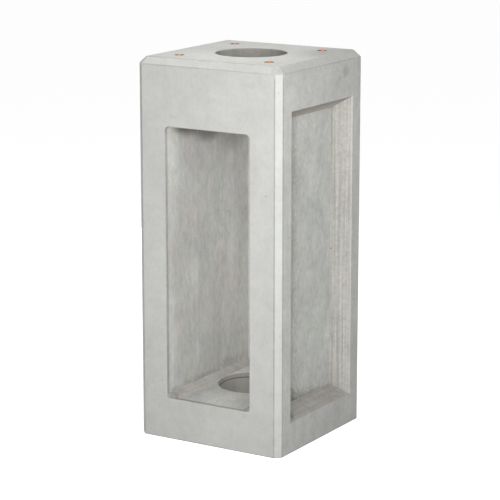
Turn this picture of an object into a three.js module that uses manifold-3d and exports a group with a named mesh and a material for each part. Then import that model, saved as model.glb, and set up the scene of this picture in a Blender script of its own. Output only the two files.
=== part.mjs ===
// A cast concrete base block for a column or post: a square hollow block that stands on its
// underside, with a tall window in the front, a shallow sunk panel in the left and right sides, a
// plain back, a pipe hole down the middle and four threaded metal inserts in the top.
// Millimetres, +Z up. The origin is the middle of the underside, the window faces -Y and the
// panel beside it faces +X.

import * as THREE from "three";
import { mergeVertices } from "three/addons/utils/BufferGeometryUtils.js";
import Module from "manifold-3d";

const wasm = await Module();
wasm.setup();

// Outside of the block
const blockWidth = 256;
const blockDepth = 256;
const blockHeight = 600;
const uprightChamfer = 9.5;
const topChamfer = 10.5;

// Window in the front and the hollow behind it
const windowWidth = 150;
const windowSill = 67;
const windowHead = 495.5;
const windowUpperRadius = 6;
const windowLowerRadius = 1.5;
const hollowBackWall = 26;
const hollowSideDraft = 0.049;
const hollowFloorDraft = 0.024;
const hollowLand = 4;
const hollowBackEase = 8;
const coveWidth = 15;
const coveHeight = 7;

// Round holes for the pipe
const topHoleDiameter = 111;
const floorHoleDiameter = 99;
const floorRebateDiameter = 105;
const floorRebateDepth = 4.5;

// Sunk panels in the left and right sides
const panelWidth = 187;
const panelSill = 48;
const panelHead = 531;
const panelDepth = 28;
const panelTaper = 18;

// Threaded inserts in the top
const insertSpacing = 160;
const insertDiameter = 14;
const insertBoreDiameter = 10.9;
const insertLength = 30;
const insertFloor = 3;
const insertLeadIn = 0.8;
const insertSetBack = 0.2;
const castGap = 0.3;

// Facets of round shapes
const holeFacets = 96;
const insertFacets = 32;
const cornerSteps = 6;

// How far a cutting shape runs past the face that it opens
const cutOverrun = 4;

const concrete = new THREE.MeshStandardMaterial({
  color: 0xc9cac5,
  roughness: 0.9,
  metalness: 0,
});
const copperAlloy = new THREE.MeshStandardMaterial({
  color: 0xc98057,
  roughness: 0.4,
  metalness: 1,
});

// A closed skin through rings of equally many points. Seen from the last ring's side, each ring
// runs anticlockwise, and each ring is convex, so that its cap is a fan.
function loft(rings) {
  const count = rings[0].length;
  const last = (rings.length - 1) * count;
  const index = [];
  for (let r = 0; r < rings.length - 1; r++) {
    for (let i = 0; i < count; i++) {
      const next = (i + 1) % count;
      const a = r * count + i;
      const b = r * count + next;
      const c = a + count;
      const d = b + count;
      index.push(a, b, d, a, d, c);
    }
  }
  for (let i = 1; i < count - 1; i++) {
    index.push(0, i + 1, i);
    index.push(last, last + i, last + i + 1);
  }
  const geometry = new THREE.BufferGeometry().setFromPoints(rings.flat());
  geometry.setIndex(index);
  return geometry;
}

function toSolid(geometry) {
  const bare = geometry.clone();
  bare.deleteAttribute("normal");
  bare.deleteAttribute("uv");
  const merged = mergeVertices(bare, 1e-4);
  return new wasm.Manifold(
    new wasm.Mesh({
      numProp: 3,
      vertProperties: new Float32Array(merged.attributes.position.array),
      triVerts: new Uint32Array(merged.index.array),
    }),
  );
}

function toGeometry(solid) {
  const mesh = solid.getMesh();
  const geometry = new THREE.BufferGeometry();
  geometry.setAttribute("position", new THREE.BufferAttribute(mesh.vertProperties, 3));
  geometry.setIndex(new THREE.BufferAttribute(mesh.triVerts, 1));
  geometry.computeVertexNormals();
  return geometry;
}

// An upright round bar from one height to another, centred on (x, y)
function roundBar(diameter, low, high, x = 0, y = 0, facets = holeFacets) {
  const bar = new THREE.CylinderGeometry(diameter / 2, diameter / 2, high - low, facets);
  bar.rotateX(Math.PI / 2);
  bar.translate(x, y, (low + high) / 2);
  return bar;
}

// The block's plan: a rectangle with its corners cut, all of it moved in by one distance
function planRing(inset, height) {
  const halfWidth = blockWidth / 2 - inset;
  const halfDepth = blockDepth / 2 - inset;
  const cut = uprightChamfer - inset * (2 - Math.SQRT2);
  const corners = [
    [halfWidth, halfDepth - cut],
    [halfWidth - cut, halfDepth],
    [cut - halfWidth, halfDepth],
    [-halfWidth, halfDepth - cut],
    [-halfWidth, cut - halfDepth],
    [cut - halfWidth, -halfDepth],
    [halfWidth - cut, -halfDepth],
    [halfWidth, cut - halfDepth],
  ];
  return corners.map(([x, y]) => new THREE.Vector3(x, y, height));
}

function outerBlock() {
  const rings = [
    planRing(0, 0),
    planRing(0, blockHeight - topChamfer),
    planRing(topChamfer, blockHeight),
  ];
  return loft(rings);
}

// Half width, floor and ceiling of the hollow at a distance behind the front face. The walls,
// the floor and the ceiling all close in a little towards the back, so that the core draws out.
function hollowSize(behind) {
  return {
    half: windowWidth / 2 - hollowSideDraft * behind,
    floor: windowSill + hollowFloorDraft * behind,
    ceiling: windowHead - hollowFloorDraft * behind,
  };
}

// One upright section of the hollow, anticlockwise seen from behind the block. The lower corners
// are tight at the window and become a wide flat cove behind it.
function hollowRing(behind, coved, ease = 0) {
  const size = hollowSize(behind);
  const half = size.half - ease;
  const floor = size.floor + ease;
  const ceiling = size.ceiling - ease;
  const y = behind - blockDepth / 2;
  const points = [];
  const roundCorner = (sideX, z, sideZ, radius, start) => {
    for (let i = 0; i <= cornerSteps; i++) {
      const angle = start + (i / cornerSteps) * (Math.PI / 2);
      const x = sideX * (half - radius) + radius * Math.cos(angle);
      points.push(new THREE.Vector3(x, y, z - sideZ * radius + radius * Math.sin(angle)));
    }
  };
  const cove = (fromX, fromZ, toX, toZ) => {
    for (let i = 0; i <= cornerSteps; i++) {
      const t = i / cornerSteps;
      points.push(new THREE.Vector3(fromX + (toX - fromX) * t, y, fromZ + (toZ - fromZ) * t));
    }
  };
  roundCorner(1, ceiling, 1, windowUpperRadius, 0);
  roundCorner(-1, ceiling, 1, windowUpperRadius, Math.PI / 2);
  if (coved) {
    cove(-half, floor + coveHeight, coveWidth - half, floor);
    cove(half - coveWidth, floor, half, floor + coveHeight);
  } else {
    roundCorner(-1, floor, -1, windowLowerRadius, Math.PI);
    roundCorner(1, floor, -1, windowLowerRadius, 1.5 * Math.PI);
  }
  return points.reverse();
}

function hollow() {
  const depth = blockDepth - hollowBackWall;
  const rings = [
    hollowRing(-cutOverrun, false),
    hollowRing(0, false),
    hollowRing(hollowLand, true),
    hollowRing(depth - hollowBackEase, true),
    hollowRing(depth, true, hollowBackEase),
  ];
  return loft(rings);
}

// The sunk panel's cutter, as if it were in the +X side: it narrows on all four sides as it goes in
function panelRing(into) {
  const shrink = (panelTaper / panelDepth) * into;
  const half = panelWidth / 2 - shrink;
  const low = panelSill + shrink;
  const high = panelHead - shrink;
  const x = blockWidth / 2 - into;
  return [
    new THREE.Vector3(x, -half, low),
    new THREE.Vector3(x, half, low),
    new THREE.Vector3(x, half, high),
    new THREE.Vector3(x, -half, high),
  ];
}

function panelCut(turn) {
  const cutter = loft([panelRing(panelDepth), panelRing(-cutOverrun)]);
  cutter.rotateZ(turn);
  return cutter;
}

function insertPlace(sideX, sideY) {
  return { x: (sideX * insertSpacing) / 2, y: (sideY * insertSpacing) / 2 };
}

const insertTop = blockHeight - insertSetBack;

function insertPocket(sideX, sideY) {
  const place = insertPlace(sideX, sideY);
  const low = insertTop - insertLength - castGap;
  const diameter = insertDiameter + 2 * castGap;
  return roundBar(diameter, low, blockHeight + cutOverrun, place.x, place.y, insertFacets);
}

function concreteBlock() {
  const middleOfFloor = hollowSize(blockDepth / 2).floor;
  const middleOfHollow = (windowSill + windowHead) / 2;
  const rebateLow = middleOfFloor - floorRebateDepth;
  const cuts = [
    hollow(),
    roundBar(topHoleDiameter, middleOfHollow, blockHeight + cutOverrun),
    roundBar(floorHoleDiameter, -cutOverrun, middleOfHollow),
    roundBar(floorRebateDiameter, rebateLow, middleOfHollow),
    panelCut(0),
    panelCut(Math.PI),
  ];
  for (const sideX of [-1, 1]) {
    for (const sideY of [-1, 1]) {
      cuts.push(insertPocket(sideX, sideY));
    }
  }
  let block = toSolid(outerBlock());
  for (const cut of cuts) {
    block = block.subtract(toSolid(cut));
  }
  return toGeometry(block);
}

// A blind threaded sleeve, its closed end down
function insertSleeve() {
  const outer = insertDiameter / 2;
  const bore = insertBoreDiameter / 2;
  const profile = [
    new THREE.Vector2(0, 0),
    new THREE.Vector2(outer, 0),
    new THREE.Vector2(outer, insertLength),
    new THREE.Vector2(bore + insertLeadIn, insertLength),
    new THREE.Vector2(bore, insertLength - insertLeadIn),
    new THREE.Vector2(bore, insertFloor),
    new THREE.Vector2(0, insertFloor),
  ];
  const sleeve = new THREE.LatheGeometry(profile, insertFacets);
  sleeve.rotateX(Math.PI / 2);
  return toGeometry(toSolid(sleeve));
}

const part = new THREE.Group();

const block = new THREE.Mesh(concreteBlock(), concrete);
block.name = "concrete_block";
part.add(block);

for (const [endName, sideY] of [["front", -1], ["back", 1]]) {
  for (const [sideName, sideX] of [["left", -1], ["right", 1]]) {
    const sleeve = new THREE.Mesh(insertSleeve(), copperAlloy);
    const place = insertPlace(sideX, sideY);
    sleeve.name = `insert_${endName}_${sideName}`;
    sleeve.position.set(place.x, place.y, insertTop - insertLength);
    part.add(sleeve);
  }
}

export default part;
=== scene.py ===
import math
import random

import bmesh
import bpy
from mathutils import Matrix, Vector


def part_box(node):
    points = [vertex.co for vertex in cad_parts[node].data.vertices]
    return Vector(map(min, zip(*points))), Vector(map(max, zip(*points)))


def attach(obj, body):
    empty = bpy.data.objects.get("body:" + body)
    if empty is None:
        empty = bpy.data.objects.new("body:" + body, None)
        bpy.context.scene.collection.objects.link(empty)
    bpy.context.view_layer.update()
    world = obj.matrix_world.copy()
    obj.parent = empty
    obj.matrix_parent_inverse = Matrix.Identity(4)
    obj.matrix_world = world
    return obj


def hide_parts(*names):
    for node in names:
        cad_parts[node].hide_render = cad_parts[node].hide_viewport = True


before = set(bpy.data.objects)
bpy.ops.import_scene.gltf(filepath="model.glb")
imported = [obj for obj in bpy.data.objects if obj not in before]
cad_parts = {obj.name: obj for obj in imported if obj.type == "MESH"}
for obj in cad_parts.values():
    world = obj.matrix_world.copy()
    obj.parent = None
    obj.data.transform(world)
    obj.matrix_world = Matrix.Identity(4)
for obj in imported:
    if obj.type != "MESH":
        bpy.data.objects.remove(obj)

bl_info = {
    "name": "Column Base Block",
    "version": (1, 0, 0),
    "blender": (4, 5, 0),
    "location": "3D View > Sidebar > Base Block",
    "description": "Models a hollow cast concrete base block with its threaded inserts",
    "category": "Add Mesh",
}

BODY = "root"
BLOCK_NODE = "concrete_block"
INSERT_NODES = sorted(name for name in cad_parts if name.startswith("insert_"))
MM = 0.001
# How far a cutter runs past the face that it opens
OVERRUN = 4 * MM
# Two places closer than this are the same place
NEAR = 0.01 * MM

BLOCK_LOW, BLOCK_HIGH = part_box(BLOCK_NODE)
INSERT_LOW, INSERT_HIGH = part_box(INSERT_NODES[0])
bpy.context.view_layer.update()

# Blow holes: the start of the random draws, how many are tried, and the radii in millimetres
PIT_SEED = 41
PIT_TRIES = 46
PIT_RADII = (0.55, 1.5)

# Each soft light's azimuth and elevation in degrees, and its distance and size in metres
LIGHTS = {
    "front": (20, 5, 1.2, 0.7),
    "side": (50, 30, 0.9, 0.6),
    "top": (37, 89, 1.2, 0.5),
    "back": (225, 4, 1.5, 1.0),
}
# The lights look at this share of the block's height
LIGHT_AIM = 0.55

# The kinds of socket that the shader groups have
NUMBER, VECTOR, COLOUR = "NodeSocketFloat", "NodeSocketVector", "NodeSocketColor"


class BlockSizes(bpy.types.PropertyGroup):
    """Sizes of the casting"""

    width: bpy.props.FloatProperty(
        name="Width", description="Width across the window side",
        default=BLOCK_HIGH.x - BLOCK_LOW.x, unit="LENGTH")
    depth: bpy.props.FloatProperty(
        name="Depth", description="Depth from the window side to the back",
        default=BLOCK_HIGH.y - BLOCK_LOW.y, unit="LENGTH")
    height: bpy.props.FloatProperty(
        name="Height", description="Height of the casting",
        default=BLOCK_HIGH.z, unit="LENGTH")
    upright_chamfer: bpy.props.FloatProperty(
        name="Upright chamfer", description="Leg of the chamfers on the four upright corners",
        default=9.5 * MM, unit="LENGTH")
    top_chamfer: bpy.props.FloatProperty(
        name="Top chamfer", description="Leg of the chamfer round the top",
        default=10.5 * MM, unit="LENGTH")
    arris: bpy.props.FloatProperty(
        name="Arris", description="How far each edge is rounded by the mould joint",
        default=1.1 * MM, unit="LENGTH")
    window_width: bpy.props.FloatProperty(
        name="Window width", description="Width of the window in the front",
        default=150 * MM, unit="LENGTH")
    window_sill: bpy.props.FloatProperty(
        name="Window sill", description="Height of the window's lower edge",
        default=67 * MM, unit="LENGTH")
    window_head: bpy.props.FloatProperty(
        name="Window head", description="Height of the window's upper edge",
        default=495.5 * MM, unit="LENGTH")
    window_upper_radius: bpy.props.FloatProperty(
        name="Upper corners", description="Radius of the window's upper corners",
        default=6 * MM, unit="LENGTH")
    window_lower_radius: bpy.props.FloatProperty(
        name="Lower corners", description="Radius of the window's lower corners",
        default=1.5 * MM, unit="LENGTH")
    hollow_back_wall: bpy.props.FloatProperty(
        name="Back wall", description="Wall left behind the hollow",
        default=26 * MM, unit="LENGTH")
    hollow_side_draft: bpy.props.FloatProperty(
        name="Side draft", description="How much each side wall closes in for each unit of depth",
        default=0.049)
    hollow_floor_draft: bpy.props.FloatProperty(
        name="Floor draft", description="How much the floor and ceiling close in for each unit of depth",
        default=0.024)
    hollow_land: bpy.props.FloatProperty(
        name="Land", description="Depth over which the window's round corners turn into the coves",
        default=4 * MM, unit="LENGTH")
    hollow_back_ease: bpy.props.FloatProperty(
        name="Back ease", description="Leg of the bevel round the back of the hollow",
        default=8 * MM, unit="LENGTH")
    cove_width: bpy.props.FloatProperty(
        name="Cove width", description="Width of the sloping cove along the hollow's floor",
        default=15 * MM, unit="LENGTH")
    cove_height: bpy.props.FloatProperty(
        name="Cove height", description="Height of the cove where it meets the side wall",
        default=7 * MM, unit="LENGTH")
    top_hole: bpy.props.FloatProperty(
        name="Top hole", description="Diameter of the round hole in the top",
        default=111 * MM, unit="LENGTH")
    floor_hole: bpy.props.FloatProperty(
        name="Floor hole", description="Diameter of the round hole in the floor",
        default=99 * MM, unit="LENGTH")
    rebate: bpy.props.FloatProperty(
        name="Rebate", description="Diameter of the rebate round the floor hole",
        default=105 * MM, unit="LENGTH")
    rebate_depth: bpy.props.FloatProperty(
        name="Rebate depth", description="Depth of the rebate below the middle of the floor",
        default=4.5 * MM, unit="LENGTH")
    panel_width: bpy.props.FloatProperty(
        name="Panel width", description="Width of the sunk panels at the face",
        default=187 * MM, unit="LENGTH")
    panel_sill: bpy.props.FloatProperty(
        name="Panel sill", description="Height of the sunk panels' lower edge",
        default=48 * MM, unit="LENGTH")
    panel_head: bpy.props.FloatProperty(
        name="Panel head", description="Height of the sunk panels' upper edge",
        default=531 * MM, unit="LENGTH")
    panel_depth: bpy.props.FloatProperty(
        name="Panel depth", description="Depth of the sunk panels",
        default=28 * MM, unit="LENGTH")
    panel_taper: bpy.props.FloatProperty(
        name="Panel taper", description="How far each side of a panel slopes in",
        default=18 * MM, unit="LENGTH")


class InsertSizes(bpy.types.PropertyGroup):
    """Sizes of the threaded inserts"""

    diameter: bpy.props.FloatProperty(
        name="Diameter", description="Outer diameter of a sleeve",
        default=INSERT_HIGH.x - INSERT_LOW.x, unit="LENGTH")
    length: bpy.props.FloatProperty(
        name="Length", description="Length of a sleeve",
        default=INSERT_HIGH.z - INSERT_LOW.z, unit="LENGTH")
    crest: bpy.props.FloatProperty(
        name="Crest", description="Diameter inside the thread's crests",
        default=10.1 * MM, unit="LENGTH")
    groove: bpy.props.FloatProperty(
        name="Groove", description="Depth of the thread's groove",
        default=0.95 * MM, unit="LENGTH")
    pitch: bpy.props.FloatProperty(
        name="Pitch", description="Distance from one turn of the thread to the next",
        default=1.75 * MM, unit="LENGTH")
    floor: bpy.props.FloatProperty(
        name="Floor", description="Thickness of the closed end",
        default=3 * MM, unit="LENGTH")
    lead_in: bpy.props.FloatProperty(
        name="Lead-in", description="Bevel at the mouth",
        default=1.2 * MM, unit="LENGTH")
    gap: bpy.props.FloatProperty(
        name="Gap", description="Gap between a sleeve and the concrete",
        default=0.3 * MM, unit="LENGTH")


class Finish(bpy.types.PropertyGroup):
    """Colours of the finishes"""

    concrete: bpy.props.FloatVectorProperty(
        name="Concrete", description="Colour of the smooth outer faces",
        default=(0.635, 0.635, 0.615), size=3, subtype="COLOR", min=0.0, max=1.0)
    hollow: bpy.props.FloatVectorProperty(
        name="Hollow", description="Colour of the walls of the hollow",
        default=(0.69, 0.688, 0.678), size=3, subtype="COLOR", min=0.0, max=1.0)
    panel: bpy.props.FloatVectorProperty(
        name="Panel back", description="Colour of the flat backs of the sunk panels",
        default=(0.67, 0.675, 0.65), size=3, subtype="COLOR", min=0.0, max=1.0)
    slope: bpy.props.FloatVectorProperty(
        name="Panel slope", description="Colour of the sloping sides of the sunk panels",
        default=(0.53, 0.515, 0.485), size=3, subtype="COLOR", min=0.0, max=1.0)
    metal: bpy.props.FloatVectorProperty(
        name="Metal", description="Colour of the threaded inserts",
        default=(0.54, 0.18, 0.045), size=3, subtype="COLOR", min=0.0, max=1.0)


class StageSettings(bpy.types.PropertyGroup):
    """Camera and light of the studio"""

    azimuth: bpy.props.FloatProperty(
        name="Azimuth",
        description="Direction that the picture is taken from, to the right of the window",
        default=math.radians(31.57), subtype="ANGLE")
    elevation: bpy.props.FloatProperty(
        name="Elevation", description="Height of the camera above the horizon",
        default=math.radians(12.75), subtype="ANGLE")
    distance: bpy.props.FloatProperty(
        name="Distance", description="Distance from the camera to the point it looks at",
        default=3.280, unit="LENGTH")
    aim: bpy.props.FloatVectorProperty(
        name="Aim", description="Point that the camera looks at",
        default=(0.0, -0.004, 0.2884), size=3, subtype="XYZ")
    lens: bpy.props.FloatProperty(
        name="Lens", description="Focal length in millimetres",
        default=150.0)
    front_power: bpy.props.FloatProperty(
        name="Front power", description="Power of the low soft light before the window",
        default=6.1, subtype="POWER")
    side_power: bpy.props.FloatProperty(
        name="Side power", description="Power of the raised soft light to the right",
        default=2.8, subtype="POWER")
    top_power: bpy.props.FloatProperty(
        name="Top power", description="Power of the soft light overhead",
        default=7.8, subtype="POWER")
    back_power: bpy.props.FloatProperty(
        name="Back power", description="Power of the soft light behind the block",
        default=5.5, subtype="POWER")
    floor_glow: bpy.props.FloatProperty(
        name="Floor glow", description="Light that the pale floor throws back",
        default=0.44)


def deselect_all():
    if bpy.context.object and bpy.context.object.mode != "OBJECT":
        bpy.ops.object.mode_set(mode="OBJECT")
    bpy.ops.object.select_all(action="DESELECT")


def activate(obj):
    deselect_all()
    obj.select_set(True)
    bpy.context.view_layer.objects.active = obj


def settle(obj):
    """Puts the object's place and turn into its mesh"""
    activate(obj)
    bpy.ops.object.transform_apply(location=True, rotation=True, scale=True)
    return obj


def finish_primitive(name, *materials):
    """Names the primitive that was just added, gives it its materials and settles it"""
    obj = bpy.context.object
    obj.name = name
    for material in materials:
        obj.data.materials.append(material)
    return settle(obj)


def add_box(name, low, high, *materials):
    """A box between two corners"""
    low, high = Vector(low), Vector(high)
    deselect_all()
    bpy.ops.mesh.primitive_cube_add(size=1, location=(low + high) / 2, scale=high - low)
    return finish_primitive(name, *materials)


def add_bar(name, diameter, low, high, material, x=0.0, y=0.0, sides=128):
    """An upright round bar from one height to another"""
    deselect_all()
    bpy.ops.mesh.primitive_cylinder_add(
        vertices=sides, radius=diameter / 2, depth=high - low, location=(x, y, (low + high) / 2))
    return finish_primitive(name, material)


def pick(obj, kind, test):
    """Goes into edit mode with only the faces or edges that pass the test selected"""
    activate(obj)
    bpy.ops.object.mode_set(mode="EDIT")
    bpy.ops.mesh.select_mode(type=kind)
    bpy.ops.mesh.select_all(action="DESELECT")
    mesh = bmesh.from_edit_mesh(obj.data)
    elements = {"FACE": mesh.faces, "EDGE": mesh.edges, "VERT": mesh.verts}[kind]
    for element in elements:
        if test(element):
            element.select = True
    mesh.select_flush_mode()
    bmesh.update_edit_mesh(obj.data)


def leave_edit():
    bpy.ops.object.mode_set(mode="OBJECT")


def apply_modifier(obj, kind, **values):
    activate(obj)
    modifier = obj.modifiers.new(kind.title(), kind)
    for key, value in values.items():
        setattr(modifier, key, value)
    bpy.ops.object.modifier_apply(modifier=modifier.name)


def cut_away(obj, cutter):
    """Cuts the cutter's shape out of the object, and takes the cutter away"""
    apply_modifier(
        obj, "BOOLEAN", operation="DIFFERENCE", solver="EXACT", object=cutter, material_mode="TRANSFER")
    bpy.data.objects.remove(cutter)


def slice_flat(obj, x=(), y=(), z=()):
    """Slices the faces along upright and level planes, so that a cut through a face leaves
    pieces with no hole in them, whose edges bevel cleanly"""
    activate(obj)
    bpy.ops.object.mode_set(mode="EDIT")
    bpy.ops.mesh.select_mode(type="FACE")
    for axis, places in enumerate((x, y, z)):
        for place in places:
            co, no = [0, 0, 0], [0, 0, 0]
            co[axis], no[axis] = place, 1
            bpy.ops.mesh.select_all(action="SELECT")
            bpy.ops.mesh.bisect(plane_co=co, plane_no=no)
    leave_edit()


def is_upright(edge):
    a, b = (v.co for v in edge.verts)
    return abs(a.z - b.z) > 0.5 * (a - b).length


class Nodes:
    """Places shader nodes in a tree and joins them"""

    def __init__(self, tree):
        self.tree = tree

    def add(self, kind, inputs=None, **values):
        node = self.tree.nodes.new(kind)
        for key, value in values.items():
            setattr(node, key, value)
        for key, value in (inputs or {}).items():
            self.put(node.inputs[key], value)
        return node

    def put(self, socket, value):
        if isinstance(value, bpy.types.NodeSocket):
            self.tree.links.new(value, socket)
        else:
            socket.default_value = value

    def math(self, operation, a, b, clamp=False):
        node = self.add("ShaderNodeMath", {0: a, 1: b}, operation=operation, use_clamp=clamp)
        return node.outputs[0]

    def swing(self, pattern, strength):
        """How far a pattern lies from its middle value, times a strength"""
        return self.math("MULTIPLY", self.math("SUBTRACT", pattern, 0.5), strength)

    def combine(self, operation, a, b):
        """A vector operation on two vectors or colours"""
        return self.add("ShaderNodeVectorMath", {0: a, 1: b}, operation=operation).outputs[0]

    def noise(self, vector, scale, detail, roughness, distortion=0.0):
        node = self.add("ShaderNodeTexNoise", {
            "Vector": vector, "Scale": scale, "Detail": detail,
            "Roughness": roughness, "Distortion": distortion})
        return node.outputs["Fac"]

    def stretch(self, vector, scale):
        return self.add("ShaderNodeMapping", {"Vector": vector, "Scale": scale}).outputs[0]

    def spread(self, value, low, high, to_low=0.0, to_high=1.0, smooth=True):
        kind = "SMOOTHSTEP" if smooth else "LINEAR"
        node = self.add("ShaderNodeMapRange", {
            "Value": value, "From Min": low, "From Max": high, "To Min": to_low, "To Max": to_high},
            interpolation_type=kind)
        return node.outputs[0]

    def shade(self, colour, factor):
        """The colour times a plain factor"""
        node = self.add("ShaderNodeVectorMath", {0: colour, "Scale": factor}, operation="SCALE")
        return node.outputs[0]

    def blend(self, factor, a, b):
        node = self.add(
            "ShaderNodeMix", {"Factor": factor, "A": a, "B": b}, data_type="RGBA", blend_type="MIX")
        return node.outputs["Result"]


def new_group(name, inputs, outputs):
    """A shader node group with named sockets: name to (kind, default)"""
    group = bpy.data.node_groups.new(name, "ShaderNodeTree")
    for socket, (kind, default) in inputs.items():
        made = group.interface.new_socket(name=socket, in_out="INPUT", socket_type=kind)
        if default is not None:
            made.default_value = default
    for socket, kind in outputs.items():
        group.interface.new_socket(name=socket, in_out="OUTPUT", socket_type=kind)
    nodes = Nodes(group)
    source = nodes.add("NodeGroupInput")
    sink = nodes.add("NodeGroupOutput")
    return group, nodes, source.outputs, sink.inputs


def cast_surface_group():
    """Cloudy paste, flecks, faint runs, fine sand, scattered pores with painted shade in them, and warm
    stains of concrete
    """
    group, n, given, out = new_group("Cast surface", {
        "Position": (VECTOR, None),
        "Colour": (COLOUR, (0.6, 0.6, 0.57, 1.0)),
        "Cloud": (NUMBER, 0.3),
        "Fleck": (NUMBER, 0.12),
        "Run": (NUMBER, 0.06),
        "Sand": (NUMBER, 0.12),
        "Pores": (NUMBER, 1.0),
        "Stain": (NUMBER, 0.0),
        "Tint": (NUMBER, 1.0),
    }, {"Colour": COLOUR, "Roughness": NUMBER, "Height": NUMBER})
    place = given["Position"]
    broad = n.noise(place, 7.0, 3.0, 0.5, 0.4)
    cloud = n.noise(place, 30.0, 5.0, 0.62, 0.8)
    fleck = n.noise(place, 150.0, 4.0, 0.62)
    runs = n.noise(n.stretch(place, (120.0, 120.0, 4.0)), 1.0, 4.0, 0.6)
    sand = n.noise(place, 700.0, 2.0, 0.5)
    swing = 1.0
    cloudy = n.math("ADD", n.math("MULTIPLY", broad, 0.35), n.math("MULTIPLY", cloud, 0.65))
    for pattern, name in ((cloudy, "Cloud"), (fleck, "Fleck"), (runs, "Run"), (sand, "Sand")):
        swing = n.math("ADD", swing, n.swing(pattern, given[name]))
    cells = n.add("ShaderNodeTexVoronoi", {"Vector": place, "Scale": 95.0, "Randomness": 1.0},
                  feature="F1")
    size = n.add("ShaderNodeTexWhiteNoise", {"Vector": cells.outputs["Position"]}, noise_dimensions="3D")
    reach = n.spread(size.outputs["Value"], 0.86, 1.0, 0.0, 0.13, smooth=False)
    reach = n.math("MULTIPLY", reach, given["Pores"])
    pore = n.math("DIVIDE", n.math("SUBTRACT", reach, cells.outputs["Distance"]), 0.05, clamp=True)
    # Painted shade: each pore is darkened as if shaded inside
    swing = n.math("SUBTRACT", swing, n.math("MULTIPLY", pore, 0.36))
    olive_tint, warm_tint = (0.975, 0.995, 0.965), (1.0, 0.952, 0.935)
    olive = n.spread(n.noise(place, 21.0, 3.0, 0.6, 0.5), 0.38, 0.62)
    warm = n.spread(n.noise(place, 16.0, 5.0, 0.65, 1.2), 0.44, 0.66)
    tone = n.shade(given["Colour"], swing)
    for pattern, name, tint in ((olive, "Tint", olive_tint), (warm, "Stain", warm_tint)):
        tinted = n.combine("MULTIPLY", tone, tint)
        tone = n.blend(n.math("MULTIPLY", pattern, given[name]), tone, tinted)
    n.put(out["Colour"], tone)
    n.put(out["Roughness"], n.spread(cloud, 0.3, 0.7, 0.80, 0.92))
    height = n.math("MULTIPLY", sand, 0.10)
    for pattern, share in ((fleck, 0.30), (cloud, 0.30), (pore, -0.9)):
        height = n.math("ADD", height, n.math("MULTIPLY", pattern, share))
    n.put(out["Height"], height)
    return group


def spot_group():
    """How far a point lies inside a soft-edged, ragged spot"""
    group, n, given, out = new_group("Spot", {
        "Position": (VECTOR, None),
        "Centre": (VECTOR, None),
        "Reach": (VECTOR, (0.01, 0.01, 0.01)),
        "Rag": (NUMBER, 0.5),
    }, {"Factor": NUMBER})
    away = n.combine("SUBTRACT", given["Position"], given["Centre"])
    scaled = n.combine("DIVIDE", away, given["Reach"])
    length = n.add("ShaderNodeVectorMath", {0: scaled}, operation="LENGTH").outputs["Value"]
    ragged = n.swing(n.noise(given["Position"], 170.0, 4.0, 0.6), given["Rag"])
    distance = n.math("ADD", length, n.math("MULTIPLY", ragged, 4.0))
    n.put(out["Factor"], n.spread(distance, 0.25, 1.0, 1.0, 0.0))
    return group


def board_grain_group():
    """Fine straight lines left by a planed mould strip, running along the two slack axes"""
    group, n, given, out = new_group("Mould grain", {
        "Position": (VECTOR, None),
        "Across": (VECTOR, None),
        "Strength": (NUMBER, 1.0),
    }, {"Factor": NUMBER, "Height": NUMBER})
    stretched = n.combine("MULTIPLY", given["Position"], given["Across"])
    coarse = n.noise(stretched, 1.0, 2.0, 0.5)
    fine = n.noise(stretched, 2.9, 2.0, 0.55)
    lines = n.math("ADD", n.math("MULTIPLY", coarse, 0.45), n.math("MULTIPLY", fine, 0.55))
    swing = n.swing(lines, given["Strength"])
    n.put(out["Factor"], n.math("ADD", n.math("MULTIPLY", swing, 0.9), 1.0))
    n.put(out["Height"], n.math("MULTIPLY", swing, 1.6))
    return group


def grey(factor):
    return (factor, factor, factor)


def new_material(name):
    """A material, with a Nodes for its tree and the sockets of its shader"""
    material = bpy.data.materials.new(name)
    material.use_nodes = True
    tree = material.node_tree
    return material, Nodes(tree), tree.nodes["Principled BSDF"].inputs


def concrete_material(name, colour, groups, cloud=0.3, fleck=0.12, run=0.06, sand=0.12, pores=1.0,
                      stain=0.0, tint=1.0, across=None, grain=1.0, bump=0.35, darker=1.0, upright=1.0,
                      marks=(), fades=()):
    """A concrete finish: the cast surface, mould grain where a direction is given, single marks,
    each a centre, a reach, a raggedness and a tint, and fades from one factor to another along an
    axis. Some of the marks and fades are painted light and painted shade"""
    material, n, shader = new_material(name)
    shader["Specular IOR Level"].default_value = 0.32
    place = n.add("ShaderNodeTexCoord").outputs["Object"]
    surface = n.add("ShaderNodeGroup", {
        "Position": n.stretch(place, (1.0, 1.0, upright)),
        "Colour": (*[c * darker for c in colour], 1.0),
        "Cloud": cloud, "Fleck": fleck, "Run": run, "Sand": sand, "Pores": pores, "Stain": stain,
        "Tint": tint}, node_tree=groups["surface"])
    tone, height = surface.outputs["Colour"], surface.outputs["Height"]
    if across:
        lines = n.add("ShaderNodeGroup", {"Position": place, "Across": across, "Strength": grain},
                      node_tree=groups["grain"])
        tone = n.shade(tone, lines.outputs["Factor"])
        height = n.math("ADD", height, lines.outputs["Height"])
    axes = n.add("ShaderNodeSeparateXYZ", {"Vector": place}).outputs
    for axis, start, end, at_start, at_end in fades:
        tone = n.shade(tone, n.spread(axes[axis], start * MM, end * MM, at_start, at_end))
    for centre, reach, rag, tint_there in marks:
        spot = n.add("ShaderNodeGroup", {
            "Position": place, "Centre": [c * MM for c in centre],
            "Reach": [r * MM for r in reach], "Rag": rag}, node_tree=groups["spot"])
        tone = n.blend(spot.outputs["Factor"], tone, n.combine("MULTIPLY", tone, tint_there))
    relief = n.add("ShaderNodeBump", {"Height": height, "Strength": bump, "Distance": 0.4 * MM})
    n.put(shader["Base Color"], tone)
    n.put(shader["Roughness"], surface.outputs["Roughness"])
    n.put(shader["Normal"], relief.outputs[0])
    return material


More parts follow.
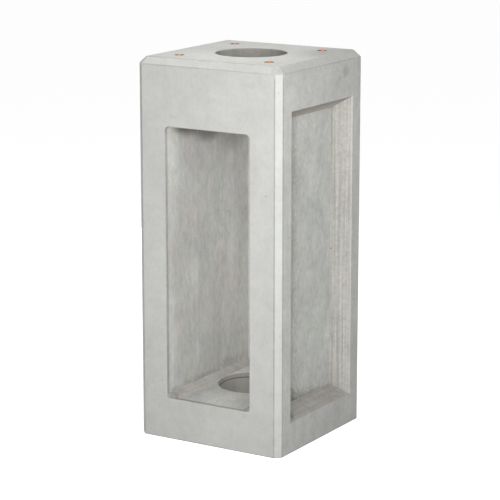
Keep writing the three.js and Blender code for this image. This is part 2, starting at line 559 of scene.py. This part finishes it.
def metal_material(colour):
    """Dulled copper-coloured metal, with painted light in the bores and darker rims"""
    material, n, shader = new_material("Copper alloy")
    place = n.add("ShaderNodeTexCoord").outputs["Object"]
    tarnish = n.spread(n.noise(place, 260.0, 4.0, 0.6), 0.42, 0.68)
    scratch = n.noise(n.stretch(place, (900.0, 900.0, 240.0)), 1.0, 3.0, 0.6)
    dull = (colour[0] * 0.52, colour[1] * 0.48, colour[2] * 0.5, 1.0)
    height = n.add("ShaderNodeSeparateXYZ", {"Vector": place}).outputs["Z"]
    rim = INSERT_HIGH.z
    # Painted light: the bores are brighter than the metal's colour, and the rims darker
    in_bore, on_rim = 1.4, 0.15
    lit_bore_dark_rim = n.spread(height, rim - 0.6 * MM, rim - 0.1 * MM, in_bore, on_rim)
    n.put(shader["Base Color"], n.shade(n.blend(tarnish, (*colour, 1.0), dull), lit_bore_dark_rim))
    n.put(shader["Roughness"], n.spread(scratch, 0.3, 0.7, 0.48, 0.66))
    shader["Metallic"].default_value = 1.0
    relief = n.add("ShaderNodeBump", {"Height": scratch, "Strength": 0.25, "Distance": 0.05 * MM})
    n.put(shader["Normal"], relief.outputs[0])
    return material


def hollow_size(s, behind):
    """Half width, floor and ceiling of the hollow at a distance behind the front face"""
    return (
        s.window_width / 2 - s.hollow_side_draft * behind,
        s.window_sill + s.hollow_floor_draft * behind,
        s.window_head - s.hollow_floor_draft * behind,
    )


def window_middle(s):
    """Height halfway up the window"""
    return (s.window_sill + s.window_head) / 2


def reach_back(s, start, end, ease=0.0):
    """Pushes the core's end face on from one depth to the next, and draws it in to the size that
    the hollow has there"""
    bpy.ops.mesh.extrude_region_move(TRANSFORM_OT_translate={"value": (0, end - start, 0)})
    half, floor, ceiling = hollow_size(s, start)
    next_half, next_floor, next_ceiling = hollow_size(s, end)
    wide = (next_half - ease) / half
    tall = (next_ceiling - next_floor - 2 * ease) / (ceiling - floor)
    bpy.ops.transform.resize(
        value=(wide, 1, tall), center_override=(0, end - s.depth / 2, window_middle(s)))


def flatten_lower_corners(s, core, behind):
    """Turns the two round lower corners of the core's end face into flat, wider slopes"""
    half, floor, _ = hollow_size(s, behind)
    y = behind - s.depth / 2
    radius = s.window_lower_radius
    reach = 1.1 * radius
    for side in (-1, 1):
        def in_corner(vertex):
            at_end = abs(vertex.co.y - y) < NEAR
            return at_end and vertex.co.z < floor + reach and vertex.co.x * side > half - reach

        pick(core, "VERT", in_corner)
        slope = Matrix.Rotation(side * math.pi / 4, 3, "Y")
        chord = (side * (half - radius / 2), y, floor + radius / 2)
        bpy.ops.transform.resize(
            value=(1, 1, 0), orient_type="GLOBAL", orient_matrix=slope.transposed(),
            orient_matrix_type="GLOBAL", center_override=chord)
        bpy.ops.transform.resize(
            value=(s.cove_width / radius, 1, s.cove_height / radius),
            center_override=(side * half, y, floor))
        leave_edit()


def hollow_cutter(s, wall_material, cove_material):
    """The core that makes the window and the hollow: a round-cornered mouth pushed on to the
    back, drawn in on the way, with a flat slope along each side of its floor"""
    depth = s.depth - s.hollow_back_wall
    half, floor, ceiling = hollow_size(s, 0.0)
    place = Vector((0, -OVERRUN - s.depth / 2, window_middle(s)))
    deselect_all()
    bpy.ops.mesh.primitive_plane_add(size=1, location=place, rotation=(math.pi / 2, 0, 0))
    bpy.context.object.scale = (2 * half, ceiling - floor, 1)
    core = finish_primitive("Core", wall_material, cove_material)
    corners = ((True, s.window_upper_radius, 8), (False, s.window_lower_radius, 3))
    for high, radius, steps in corners:
        pick(core, "VERT", lambda vertex: (vertex.co.z > place.z) == high)
        bpy.ops.mesh.bevel(offset=radius, segments=steps, affect="VERTICES")
        leave_edit()
    pick(core, "FACE", lambda face: True)
    bpy.ops.mesh.extrude_region_move(TRANSFORM_OT_translate={"value": (0, OVERRUN, 0)})
    reach_back(s, 0.0, s.hollow_land)
    leave_edit()
    flatten_lower_corners(s, core, s.hollow_land)
    land = s.hollow_land - s.depth / 2
    pick(core, "FACE", lambda face: face.calc_center_median().y > land - 0.1 * MM)
    reach_back(s, s.hollow_land, depth - s.hollow_back_ease)
    reach_back(s, depth - s.hollow_back_ease, depth, s.hollow_back_ease)
    bpy.ops.mesh.select_all(action="SELECT")
    bpy.ops.mesh.normals_make_consistent(inside=False)
    leave_edit()
    wall, cove = range(2)
    low = floor + s.cove_height + s.hollow_floor_draft * depth
    for face in core.data.polygons:
        slanted = min(abs(face.normal.x), abs(face.normal.z)) > 0.2 and abs(face.normal.y) < 0.5
        face.material_index = cove if slanted and face.center.z < low else wall
    slice_flat(core, x=(0.0,), y=(0.0,), z=(window_middle(s),))
    return core


def panel_cutter(s, turn, materials):
    """The mould plate of one sunk panel, as if in the right side and then turned round. The
    materials are those of its back, upright slopes, ceiling and floor."""
    back, slope, ceiling, floor = range(4)
    side = s.width / 2
    half = s.panel_width / 2
    tall = (s.panel_head - s.panel_sill) / 2
    middle = (s.panel_sill + s.panel_head) / 2
    spread = OVERRUN * s.panel_taper / s.panel_depth
    plate = add_box(
        "Panel", (side - s.panel_depth, -half, s.panel_sill), (side, half, s.panel_head),
        *materials)
    pick(plate, "FACE", lambda face: face.normal.x < -0.9)
    bpy.ops.transform.resize(
        value=(1, 1 - s.panel_taper / half, 1 - s.panel_taper / tall),
        center_override=(side - s.panel_depth, 0, middle))
    leave_edit()
    pick(plate, "FACE", lambda face: face.normal.x > 0.9)
    bpy.ops.transform.translate(value=(OVERRUN, 0, 0))
    bpy.ops.transform.resize(
        value=(1, 1 + spread / half, 1 + spread / tall),
        center_override=(side + OVERRUN, 0, middle))
    leave_edit()
    for face in plate.data.polygons:
        if face.normal.x < -0.9:
            face.material_index = back
        elif abs(face.normal.z) > 0.5:
            face.material_index = ceiling if face.normal.z > 0 else floor
        else:
            face.material_index = slope
    plate.data.transform(Matrix.Rotation(turn, 4, "Z"))
    return plate


def outer_block(s, front_material, side_material, chamfer_material):
    """The block's outside: a box with chamfered upright corners and a chamfer round the top. The
    side material is for the left, right and back faces, the chamfer material for the chamfer
    round the top, and the front material for the rest."""
    front, side, chamfer = range(3)
    block = add_box(
        "Concrete_block", (-s.width / 2, -s.depth / 2, 0), (s.width / 2, s.depth / 2, s.height),
        front_material, side_material, chamfer_material)
    pick(block, "EDGE", is_upright)
    bpy.ops.mesh.bevel(offset_type="OFFSET", offset=s.upright_chamfer, segments=1)
    leave_edit()
    pick(block, "EDGE", lambda edge: all(v.co.z > s.height - 1 * MM for v in edge.verts))
    bpy.ops.mesh.bevel(offset_type="OFFSET", offset=s.top_chamfer, segments=1)
    leave_edit()
    for face in block.data.polygons:
        if abs(face.normal.x) > 0.9 or face.normal.y > 0.9:
            face.material_index = side
        elif 0.1 < face.normal.z < 0.9:
            face.material_index = chamfer
        else:
            face.material_index = front
    places = insert_places().values()
    slice_flat(
        block, x=sorted({0.0, *(p.x for p in places)}), y=sorted({0.0, *(p.y for p in places)}),
        z=(window_middle(s),))
    return block


def insert_places():
    """The middle of each insert's foot, by its node's name"""
    places = {}
    for node in INSERT_NODES:
        low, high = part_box(node)
        places[node] = Vector(((low.x + high.x) / 2, (low.y + high.y) / 2, low.z))
    return places


def near_window(s, x, z, margin):
    """Whether a point of the front is in the window or within the margin of it"""
    in_height = s.window_sill - margin < z < s.window_head + margin
    return abs(x) < s.window_width / 2 + margin and in_height


def near_panel(s, y, z, margin):
    """Whether a point of the left or right side is in the panel or within the margin of it"""
    in_height = s.panel_sill - margin < z < s.panel_head + margin
    return abs(y) < s.panel_width / 2 + margin and in_height


def clear_of_openings(s, face, place):
    """Whether a blow hole there keeps off the window, the panels, the holes and the inserts"""
    margin = 6 * MM
    off_insert = 14 * MM
    x, y, z = place
    if face == "top":
        inserts = insert_places().values()
        off_hole = math.hypot(x, y) >= s.top_hole / 2 + margin
        return off_hole and all(math.hypot(x - p.x, y - p.y) > off_insert for p in inserts)
    if face == "front":
        return not near_window(s, x, z, margin)
    return face == "back" or not near_panel(s, y, z, margin)


def pit_cutter(s, material):
    """Blow holes: small balls let not quite halfway into the outer faces, here and there"""
    rng = random.Random(PIT_SEED)
    stand_off = 0.15 * MM
    half_x, half_y = s.width / 2 + stand_off, s.depth / 2 + stand_off
    edge = s.upright_chamfer + 12 * MM
    above_foot, below_top = 14 * MM, 30 * MM
    balls = []
    for _ in range(PIT_TRIES):
        radius = rng.uniform(*PIT_RADII) * MM
        face = rng.choice(("front", "right", "back", "left", "top"))
        across = rng.uniform(edge - half_x, half_x - edge)
        up = rng.uniform(above_foot, s.height - below_top)
        if face == "top":
            place = (across, rng.uniform(edge - half_y, half_y - edge), s.height + stand_off)
        else:
            place = {
                "front": (across, -half_y, up), "back": (across, half_y, up),
                "right": (half_x, across, up), "left": (-half_x, across, up)}[face]
        if clear_of_openings(s, face, place):
            deselect_all()
            bpy.ops.mesh.primitive_ico_sphere_add(subdivisions=2, radius=radius, location=place)
            ball = bpy.context.object
            ball.data.materials.append(material)
            balls.append(ball)
    deselect_all()
    for ball in balls:
        ball.select_set(True)
    bpy.context.view_layer.objects.active = balls[0]
    bpy.ops.object.join()
    return settle(bpy.context.object)


def round_arrises(s, block, arris, window_arris, hole_arris):
    """Rounds every outward edge: darker than the faces along the outside and round the window,
    much darker round the floor hole as painted shade, and as pale as the face round the panels. Inner
    corners stay as cast."""
    materials = block.data.materials
    outside = len(materials)
    for material in (arris, window_arris, hole_arris):
        materials.append(material)
    round_window, round_hole = outside + 1, outside + 2
    sharp = math.radians(20)
    pick(block, "EDGE", lambda edge: edge.is_convex and edge.calc_face_angle(0.0) > sharp)
    bpy.ops.mesh.bevel(
        offset_type="OFFSET", offset=s.arris, segments=3, clamp_overlap=False, material=outside,
        miter_outer="ARC")
    bpy.ops.mesh.select_mode(type="VERT")
    bpy.ops.mesh.select_all(action="SELECT")
    bpy.ops.mesh.remove_doubles(threshold=0.02 * MM)
    leave_edit()
    skin = s.arris + 0.4 * MM
    hole_top = s.window_sill + 4 * MM
    for face in block.data.polygons:
        if face.material_index != outside:
            continue
        x, y, z = face.center
        if near_window(s, x, z, skin) and y < skin - s.depth / 2:
            face.material_index = round_window
        elif near_panel(s, y, z, skin) and abs(x) > s.width / 2 - skin:
            face.material_index = materials.find("Concrete side")
        elif abs(math.hypot(x, y) - s.floor_hole / 2) < skin and z < hole_top:
            face.material_index = round_hole


def face_finishes(f, groups):
    """The finishes of the front and top, of the sides and back, and of the chamfer round the top"""
    # Painted shade: darker towards the bottom, where the light falls off
    painted_lower_shade = ("Z", 10, 260, 0.90, 1.0)
    smooth_look = {"cloud": 0.40, "fleck": 0.15, "sand": 0.14}
    smooth = concrete_material(
        "Concrete smooth", f.concrete, groups, tint=0.6,
        # Painted shade lower down and at the foot where the block meets the floor, darker towards the
        # right-hand edge, painted light on the right-hand upright chamfers, and paler on the left-hand
        # upright chamfers
        fades=(
            painted_lower_shade, ("Z", 0.5, 2.5, 0.86, 1.0), ("X", 10, 112, 1.0, 0.96),
            ("X", 117.5, 119.5, 1.0, 1.12), ("X", -119.5, -118.4, 1.30, 1.0)),
        marks=(
            # Smudges below and above the window, then painted shade on the right and back of the top and
            # painted light on its front
            ((66, -128, 60), (7, 4, 6), 0.4, grey(0.92)),
            ((-62, -128, 512), (12, 4, 4), 0.5, grey(0.94)),
            ((105, 75, 600), (60, 95, 20), 0.2, grey(0.78)),
            ((0, -65, 600), (150, 85, 20), 0.2, grey(1.13))), **smooth_look)
    side = concrete_material(
        "Concrete side", f.concrete, groups, cloud=0.62, fleck=0.30, run=0.14, sand=0.2, tint=0.8,
        # Painted shade lower down and at the foot, and painted light growing towards the top
        fades=(painted_lower_shade, ("Z", 0.5, 2.5, 0.70, 1.0), ("Z", 250, 560, 1.03, 1.06)),
        marks=(
            # Smudges near the top of the right side, then a dark pit on its edge
            ((128, 70, 572), (4, 14, 13), 0.35, grey(0.82)),
            ((128, 52, 562), (4, 9, 7), 0.4, grey(0.90)),
            ((128, 88, 378), (3, 3, 3.4), 0.2, grey(0.5))))
    chamfer = concrete_material(
        "Concrete top chamfer", f.concrete, groups, tint=0.3,
        fades=(("X", -110, 110, 1.02, 0.905), ("X", 116, 119, 1.0, 0.90)),
        marks=(((122, -122, 594), (16, 16, 16), 0.05, grey(0.88)),), **smooth_look)
    return smooth, side, chamfer


def hollow_finishes(f, groups):
    """The finishes of the hollow and of the coves along its floor"""
    hollow = concrete_material(
        "Concrete hollow", f.hollow, groups, cloud=0.85, fleck=0.40, run=0.20, sand=0.3, pores=1.3,
        stain=0.9, bump=0.6, upright=0.5,
        # A dark line just inside the mouth, then painted light growing from the front of the hollow to
        # its back, and darker towards the floor
        fades=(
            ("Y", -124.5, -122.5, 0.64, 1.0), ("Y", -112, -96, 1.05, 1.0),
            ("Y", -100, -50, 0.92, 1.02), ("Y", -30, 55, 1.0, 1.15), ("Z", 80, 200, 0.965, 1.0)),
        marks=(
            # Painted shade along the foot of the left wall, above the cove, and a darker strip of floor
            # beside it
            ((-70, -112, 74), (9, 20, 10), 0.4, (0.70, 0.67, 0.66)),
            ((-66, 45, 84), (10, 45, 16), 0.4, (0.80, 0.78, 0.77)),
            ((-69, -60, 78), (6, 85, 10), 0.3, (0.80, 0.79, 0.78)),
            ((-46, -62, 68), (15, 75, 8), 0.2, (0.90, 0.91, 0.89)),
            # The shade under the lintel
            ((-73, -88, 491), (30, 30, 14), 0.04, (0.56, 0.54, 0.53)),
            ((-71, -62, 486), (30, 44, 19), 0.04, (0.42, 0.40, 0.39)),
            ((-69, -15, 477), (30, 52, 27), 0.06, (0.43, 0.41, 0.40)),
            ((-66, 50, 466), (30, 70, 44), 0.10, (0.70, 0.69, 0.68)),
            # The pale and the darker part of the floor, and a darker patch in its near right corner
            ((20, -88, 69), (80, 60, 8), 0.15, grey(1.20)),
            ((-28, -48, 68), (44, 40, 8), 0.15, grey(0.90)),
            ((66, -112, 69), (8, 22, 8), 0.4, (0.80, 0.78, 0.77)),
            # Painted light on the left wall beside the mouth near the top, then two small paler places
            # lower down
            ((-73, -108, 440), (10, 30, 80), 0.2, (1.12, 1.14, 1.13)),
            ((-70, -65, 216), (6, 2.4, 9), 0.5, grey(1.14)),
            ((-70, -50, 175), (6, 3.0, 7), 0.5, grey(1.16))))
    warm = [c * tint for c, tint in zip(f.hollow, (1.0, 0.965, 0.945))]
    cove = concrete_material(
        "Concrete cove", warm, groups, cloud=0.9, fleck=0.5, run=0.0, sand=0.3, pores=1.5,
        stain=1.0, tint=0.1, bump=0.6, darker=0.88,
        marks=(((-68, -116, 72), (16, 34, 12), 0.5, (0.70, 0.68, 0.67)),))
    return hollow, cove


def bore_finishes(f, groups):
    """The finishes of the round holes in the top and in the floor"""
    return [
        concrete_material(
            f"Concrete {place} bore", f.slope, groups, cloud=0.4, fleck=0.2, run=0.35, stain=0.6,
            bump=0.5, darker=darker)
        for place, darker in (("top", 1.08), ("floor", 0.97))]


def panel_finishes(f, groups):
    """The finishes of a sunk panel's back, upright slopes, ceiling and floor"""
    back = concrete_material(
        "Concrete panel", f.panel, groups, cloud=0.95, fleck=0.5, run=0.10, sand=0.26, stain=0.15,
        bump=0.5, upright=0.7, darker=1.03,
        marks=(
            # Painted shade down the near edge and at its foot, then the stains along the foot
            ((100, -58, 290), (8, 36, 900), 0.3, (0.78, 0.76, 0.745)),
            ((100, -44, 74), (6, 18, 24), 0.3, grey(0.75)),
            ((100, 0, 64), (6, 110, 9), 0.7, (0.84, 0.82, 0.80)),
            ((100, -50, 70), (6, 78, 17), 0.45, (0.78, 0.76, 0.74))))
    look = {"cloud": 0.6, "fleck": 0.5, "run": 0.0, "sand": 0.6, "pores": 1.8, "tint": 0.3,
            "bump": 0.8, "across": (300.0, 2.0, 2.0)}
    slope = concrete_material(
        "Concrete panel slope", f.slope, groups, stain=0.45, grain=1.9, **look)
    # Painted shade: the ceiling is darker than the slopes and darkest along the mouth; its mark is a
    # warm stain
    ceiling = concrete_material(
        "Concrete panel ceiling", f.slope, groups, stain=1.0, grain=1.0, darker=0.80,
        fades=(("Z", 514, 530, 1.08, 0.80),),
        marks=(((110, 0, 522), (60, 400, 60), 0.0, (0.99, 0.955, 0.91)),), **look)
    # Its mark is painted shadow of the panel's near edge, in the near corner of its floor
    floor = concrete_material(
        "Concrete panel floor", f.slope, groups, stain=0.7, grain=1.1,
        marks=(((110, -78, 60), (22, 16, 20), 0.3, grey(0.58)),), **look)
    return back, slope, ceiling, floor


def arris_finishes(f, groups):
    """The finishes of the rounded edges of the outside, of the window and of the floor hole"""
    look = {"cloud": 0.6, "fleck": 0.4, "pores": 0.5}
    outside = concrete_material(
        "Concrete arris", f.concrete, groups, stain=0.2, darker=0.67,
        # Painted shade along the foot, then paler near the top and towards the left
        fades=(
            ("Z", 0, 3, 0.55, 1.0), ("Z", 580, 588, 1.0, 1.24), ("X", -128, -112, 1.6, 1.0)),
        **look)
    # Painted shade on the edges up by the lintel, and a painted highlight along the right jamb
    window = concrete_material(
        "Concrete window arris", f.concrete, groups, stain=0.4, darker=0.66,
        fades=(("Z", 480, 492, 1.0, 0.7), ("X", 68, 74, 1.0, 1.8)), **look)
    # Painted shade: the edge round the floor hole is made much darker, as the shaded ledge of the rebate
    hole = concrete_material(
        "Concrete hole arris", f.concrete, groups, stain=0.4, darker=0.22, **look)
    return outside, window, hole


def bore_holes(s, block, top_bore, floor_bore):
    """Bores the round holes in the top and the floor, and the rebate round the lower one"""
    floor = s.window_sill + s.hollow_floor_draft * s.depth / 2
    middle = window_middle(s)
    cut_away(block, add_bar("Top bar", s.top_hole, middle, s.height + OVERRUN, top_bore))
    cut_away(block, add_bar("Floor bar", s.floor_hole, -OVERRUN, middle, floor_bore))
    rebate = add_bar("Rebate bar", s.rebate, floor - s.rebate_depth, middle, floor_bore)
    slice_flat(rebate, x=(0.0,), y=(0.0,))
    cut_away(block, rebate)


class BASEBLOCK_OT_cast_block(bpy.types.Operator):
    """Casts the concrete block with its window, hollow, panels and holes"""

    bl_idname = "baseblock.cast_block"
    bl_label = "Cast the Block"

    def execute(self, context):
        s = context.scene.base_block_sizes
        i = context.scene.base_block_inserts
        f = context.scene.base_block_finish
        groups = {"surface": cast_surface_group(), "grain": board_grain_group(), "spot": spot_group()}
        top_bore, floor_bore = bore_finishes(f, groups)
        panel = panel_finishes(f, groups)
        arrises = arris_finishes(f, groups)
        block = outer_block(s, *face_finishes(f, groups))
        cut_away(block, hollow_cutter(s, *hollow_finishes(f, groups)))
        bore_holes(s, block, top_bore, floor_bore)
        for turn in (0.0, math.pi):
            cut_away(block, panel_cutter(s, turn, panel))
        for place in insert_places().values():
            pocket = add_bar(
                "Pocket", i.diameter + 2 * i.gap, place.z - i.gap, s.height + OVERRUN, top_bore,
                place.x, place.y, 48)
            cut_away(block, pocket)
        round_arrises(s, block, *arrises)
        cut_away(block, pit_cutter(s, arrises[0]))
        activate(block)
        bpy.ops.object.shade_smooth_by_angle(angle=math.radians(32))
        apply_modifier(block, "WEIGHTED_NORMAL", keep_sharp=True, weight=80)
        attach(block, BODY)
        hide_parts(BLOCK_NODE)
        return {"FINISHED"}


def sleeve_body(i, material):
    """A blind sleeve with its closed end at height 0"""
    sleeve = add_bar("Insert", i.diameter, 0.0, i.length, material, sides=64)
    pick(sleeve, "FACE", lambda face: face.normal.z > 0.9)
    bpy.ops.mesh.inset(thickness=(i.diameter - i.crest) / 2 - i.lead_in, depth=0)
    leave_edit()
    mouth = i.crest / 2 + i.lead_in

    def in_mouth(face):
        middle = face.calc_center_median()
        return face.normal.z > 0.9 and middle.xy.length < mouth / 2 and middle.z > i.length - NEAR

    pick(sleeve, "FACE", in_mouth)
    bpy.ops.mesh.extrude_region_move(TRANSFORM_OT_translate={"value": (0, 0, -i.lead_in)})
    shrink = i.crest / 2 / mouth
    bpy.ops.transform.resize(
        value=(shrink, shrink, 1), center_override=(0, 0, i.length - i.lead_in))
    bpy.ops.mesh.extrude_region_move(
        TRANSFORM_OT_translate={"value": (0, 0, i.floor + i.lead_in - i.length)})
    leave_edit()
    return sleeve


def thread_coil(i, material):
    """The helical cutter of the thread's groove: a triangle swept up the bore"""
    lap = 0.25 * MM
    flank_share = 0.43
    above_floor, clear_length = 1.6 * MM, 2 * MM
    inside = i.crest / 2 - lap
    root = i.crest / 2 + i.groove
    flank = i.pitch * flank_share
    deselect_all()
    bpy.ops.mesh.primitive_circle_add(vertices=3, radius=1.0, fill_type="NOTHING")
    coil = bpy.context.object
    coil.data.materials.append(material)
    corners = ((root, 0.0), (inside, flank), (inside, -flank))
    for vertex, (out, up) in zip(coil.data.vertices, corners):
        vertex.co = (out, 0.0, up)
    turns = int((i.length - i.floor - clear_length) / i.pitch)
    apply_modifier(
        coil, "SCREW", axis="Z", screw_offset=i.pitch, iterations=turns, steps=32, render_steps=32,
        use_merge_vertices=False, use_smooth_shade=False)
    coil.data.transform(Matrix.Translation((0, 0, i.floor + above_floor)))
    pick(coil, "EDGE", lambda edge: len(edge.link_faces) == 1)
    bpy.ops.mesh.fill_holes(sides=3)
    bpy.ops.mesh.select_all(action="SELECT")
    bpy.ops.mesh.normals_make_consistent(inside=False)
    leave_edit()
    return coil


class BASEBLOCK_OT_fit_inserts(bpy.types.Operator):
    """Fits the four threaded metal sleeves in the top"""

    bl_idname = "baseblock.fit_inserts"
    bl_label = "Fit the Inserts"

    def execute(self, context):
        i = context.scene.base_block_inserts
        metal = metal_material(context.scene.base_block_finish.metal)
        sleeve = sleeve_body(i, metal)
        cut_away(sleeve, thread_coil(i, metal))
        activate(sleeve)
        bpy.ops.object.shade_smooth_by_angle(angle=math.radians(30))
        for node, place in insert_places().items():
            piece = sleeve.copy()
            piece.data = sleeve.data.copy()
            piece.name = node.replace("insert", "Threaded_insert")
            context.scene.collection.objects.link(piece)
            piece.data.transform(Matrix.Translation(place))
            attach(piece, BODY)
            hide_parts(node)
        bpy.data.objects.remove(sleeve)
        return {"FINISHED"}


def floor_material(glow):
    """A matt floor that looks evenly pale to the camera and throws a measured light back"""
    material, n, shader = new_material("Pale floor")
    seen = 0.97
    shader["Base Color"].default_value = (0.5, 0.5, 0.5, 1.0)
    shader["Roughness"].default_value = 0.9
    shader["Emission Color"].default_value = (1.0, 1.0, 1.0, 1.0)
    ray = n.add("ShaderNodeLightPath").outputs["Is Camera Ray"]
    n.put(shader["Emission Strength"], n.spread(ray, 0.0, 1.0, glow, seen, smooth=False))
    return material


def studio_world():
    """A world that looks white to the camera and gives next to no light"""
    world = bpy.data.worlds.new("Studio")
    world.use_nodes = True
    n = Nodes(world.node_tree)
    glow, seen = 0.02, 1.0
    backdrop = world.node_tree.nodes["Background"].inputs
    backdrop["Color"].default_value = (1.0, 1.0, 1.0, 1.0)
    ray = n.add("ShaderNodeLightPath").outputs["Is Camera Ray"]
    n.put(backdrop["Strength"], n.spread(ray, 0.0, 1.0, glow, seen, smooth=False))
    return world


def point_at(obj, aim, azimuth, elevation, distance):
    """Places a light or the camera at a distance from its aim, and turns it to the aim"""
    away = Vector((
        math.sin(azimuth) * math.cos(elevation),
        -math.cos(azimuth) * math.cos(elevation),
        math.sin(elevation)))
    obj.location = aim + away * distance
    obj.rotation_euler = (-away).to_track_quat("-Z", "Y").to_euler()
    bpy.context.scene.collection.objects.link(obj)


def soft_light(side, power):
    """A square area light that looks at the block and that the camera doesn't see"""
    azimuth, elevation, distance, size = LIGHTS[side]
    light = bpy.data.lights.new(f"{side.title()} light", "AREA")
    light.shape = "SQUARE"
    light.size = size
    light.energy = power
    lamp = bpy.data.objects.new(light.name, light)
    lamp.visible_camera = False
    aim = Vector((0.0, 0.0, BLOCK_HIGH.z * LIGHT_AIM))
    point_at(lamp, aim, math.radians(azimuth), math.radians(elevation), distance)


class BASEBLOCK_OT_set_stage(bpy.types.Operator):
    """Sets up the floor, the soft lights and the camera"""

    bl_idname = "baseblock.set_stage"
    bl_label = "Set the Stage"

    def execute(self, context):
        s = context.scene.base_block_stage
        scene = context.scene
        deselect_all()
        bpy.ops.mesh.primitive_plane_add(size=40)
        floor = context.object
        floor.name = "Floor"
        floor.data.materials.append(floor_material(s.floor_glow))
        for side in LIGHTS:
            soft_light(side, getattr(s, f"{side}_power"))
        scene.world = studio_world()
        lens = bpy.data.cameras.new("Camera")
        lens.lens = s.lens
        lens.sensor_width = 36.0
        lens.clip_end = 100.0
        camera = bpy.data.objects.new("Camera", lens)
        point_at(camera, Vector(s.aim), s.azimuth, s.elevation, s.distance)
        scene.camera = camera
        scene.view_settings.view_transform = "Standard"
        return {"FINISHED"}


class BASEBLOCK_PT_panel(bpy.types.Panel):
    """Lists the steps and the sizes"""

    bl_idname = "BASEBLOCK_PT_panel"
    bl_label = "Base Block"
    bl_space_type = "VIEW_3D"
    bl_region_type = "UI"
    bl_category = "Base Block"

    def draw(self, context):
        layout = self.layout
        for operator in OPERATORS:
            layout.operator(operator.bl_idname)
        for holder in PROPERTY_HOLDERS:
            settings = getattr(context.scene, holder)
            box = layout.box()
            for name in settings.bl_rna.properties.keys():
                if name not in ("rna_type", "name"):
                    box.prop(settings, name)


OPERATORS = (BASEBLOCK_OT_set_stage, BASEBLOCK_OT_cast_block, BASEBLOCK_OT_fit_inserts)
PROPERTY_HOLDERS = {
    "base_block_sizes": BlockSizes,
    "base_block_inserts": InsertSizes,
    "base_block_finish": Finish,
    "base_block_stage": StageSettings,
}
CLASSES = (*PROPERTY_HOLDERS.values(), *OPERATORS, BASEBLOCK_PT_panel)


def register():
    for cls in CLASSES:
        bpy.utils.register_class(cls)
    for holder, group in PROPERTY_HOLDERS.items():
        setattr(bpy.types.Scene, holder, bpy.props.PointerProperty(type=group))


def unregister():
    for holder in PROPERTY_HOLDERS:
        delattr(bpy.types.Scene, holder)
    for cls in reversed(CLASSES):
        bpy.utils.unregister_class(cls)


def main():
    register()
    bpy.ops.baseblock.set_stage()
    bpy.ops.baseblock.cast_block()
    bpy.ops.baseblock.fit_inserts()


if __name__ == "__main__":
    main()
